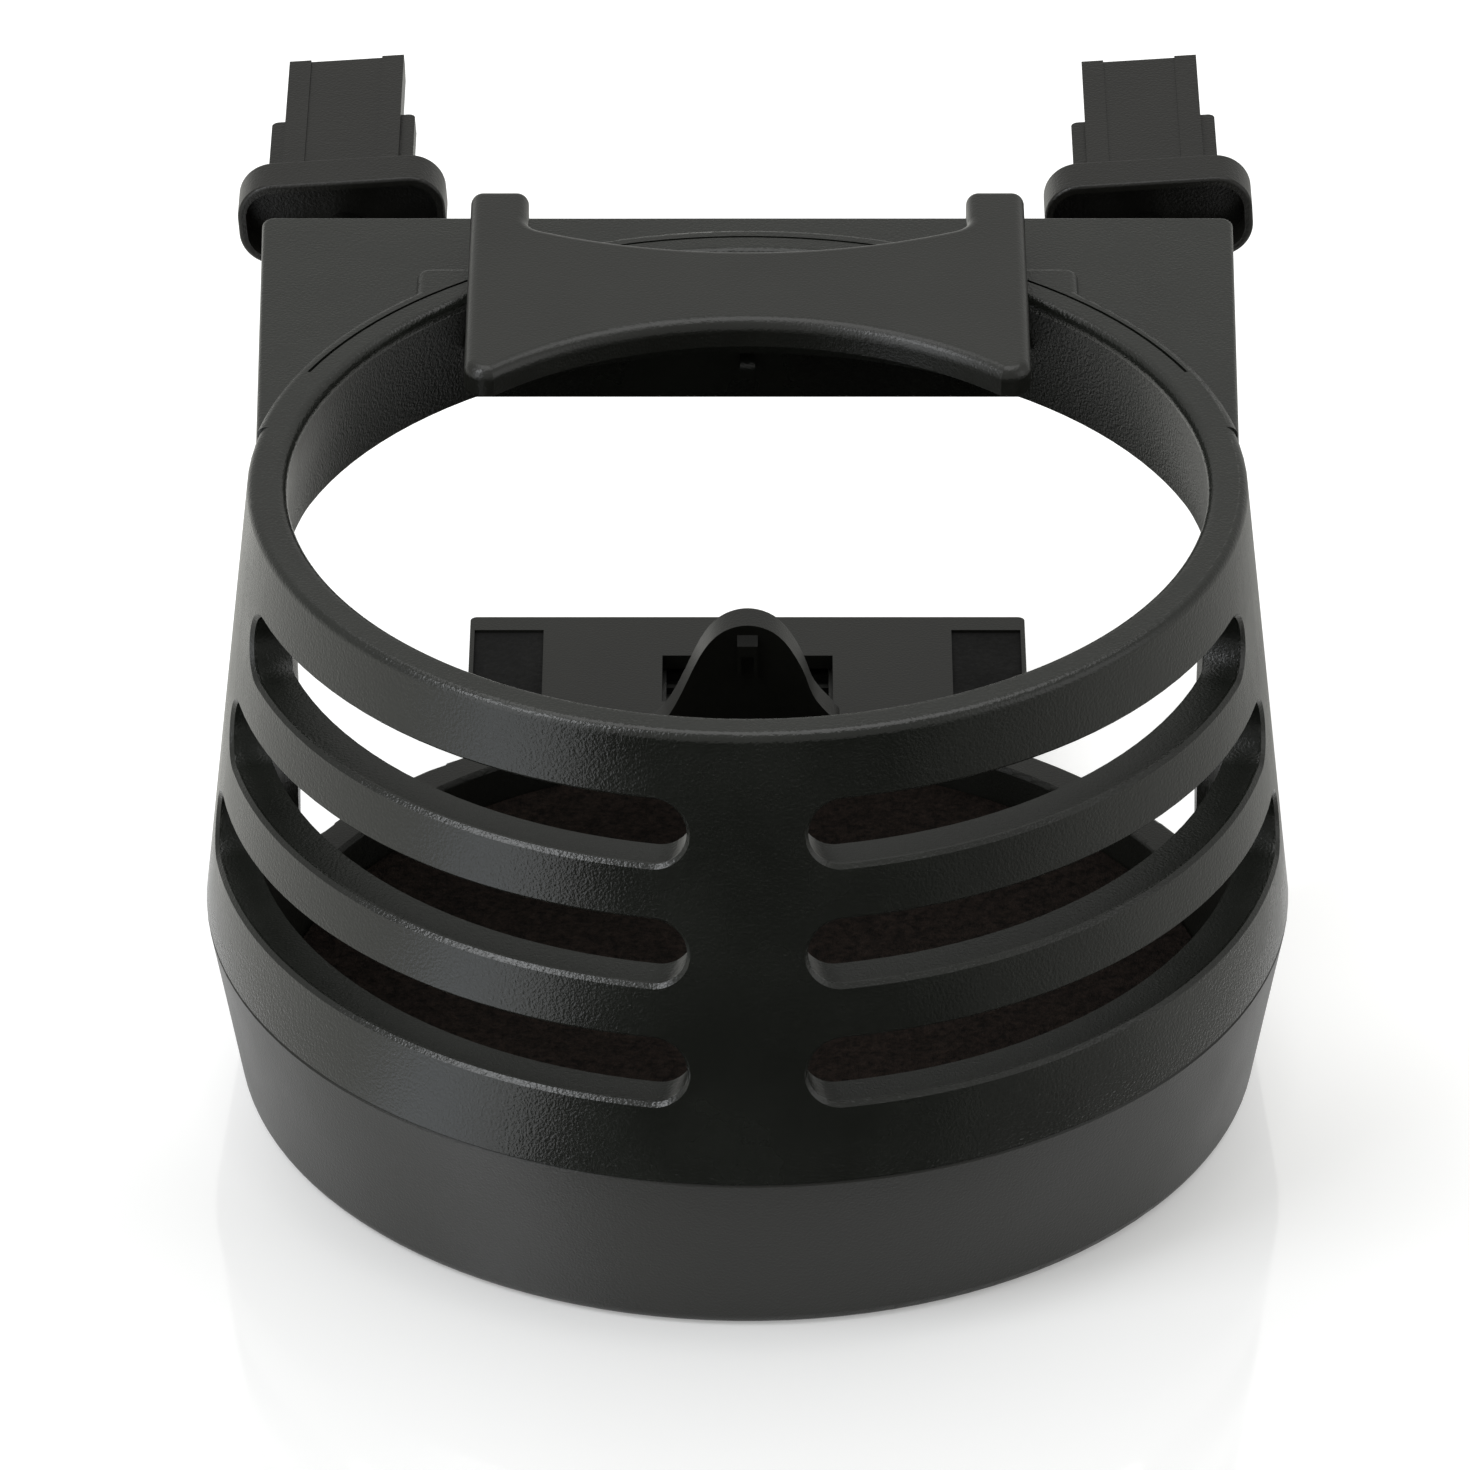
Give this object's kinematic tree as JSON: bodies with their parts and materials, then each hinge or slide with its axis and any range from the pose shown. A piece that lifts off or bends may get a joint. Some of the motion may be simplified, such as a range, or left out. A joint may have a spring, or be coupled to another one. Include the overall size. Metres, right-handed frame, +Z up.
{
  "type": "car cup holder",
  "caption": "Air-vent cup holder: slotted round cup shell on a base, sliding cup presser, pull-out dash stay and swivelling vent clips.",
  "frame": {"origin": "centre of the cup well's axis on the underside of the base", "axes": "+Z up along the cup well's axis, +Y from the slotted front toward the vent clips, +X to the right seen from the front"},
  "size_m": [0.1012, 0.1387, 0.0663],
  "materials": {
    "shell_plastic": "fine moulded grain",
    "base_plastic": "fine moulded grain",
    "presser_plastic": "satin moulded",
    "clip_plastic": "satin moulded",
    "inner_plastic": "matt moulded",
    "pad_felt": "dark felt",
    "corner_rubber": "matt rubber",
    "grip_rubber": "matt rubber",
    "screw_steel": "plated",
    "washer_steel": "plated"
  },
  "bodies": {
    "holder": {"body_shell": "shell_plastic", "base_cup": "base_plastic", "floor_pad": "pad_felt", "corner_pad_right": "corner_rubber", "corner_pad_left": "corner_rubber"},
    "presser": {"cup_presser": "presser_plastic", "presser_shoe_right": "inner_plastic", "presser_shoe_left": "inner_plastic", "presser_screws": "screw_steel"},
    "stay": {"support_stay": "inner_plastic", "stay_bumper": "grip_rubber"},
    "clip_left": {"vent_clip_left": "clip_plastic", "jaw_pad_left": "grip_rubber", "swivel_washer_left": "washer_steel", "swivel_screw_left": "screw_steel"},
    "clip_right": {"vent_clip_right": "clip_plastic", "jaw_pad_right": "grip_rubber", "swivel_washer_right": "washer_steel", "swivel_screw_right": "screw_steel"}
  },
  "joints": [
    {"name": "presser_slide", "type": "slide", "parent": "holder", "child": "presser", "axis": [0, 1, 0], "range_m": [0, 0.0082]},
    {"name": "stay_slide", "type": "slide", "parent": "holder", "child": "stay", "axis": [0, 1, 0], "range_m": [0, 0.011]},
    {"name": "clip_left_swivel", "type": "hinge", "parent": "holder", "child": "clip_left", "pos_m": [-0.039, 0.0464, 0.0512], "axis": [0, 1, 0], "range_deg": [-90, 90]},
    {"name": "clip_right_swivel", "type": "hinge", "parent": "holder", "child": "clip_right", "pos_m": [0.039, 0.0464, 0.0512], "axis": [0, 1, 0], "range_deg": [-90, 90]}
  ]
}
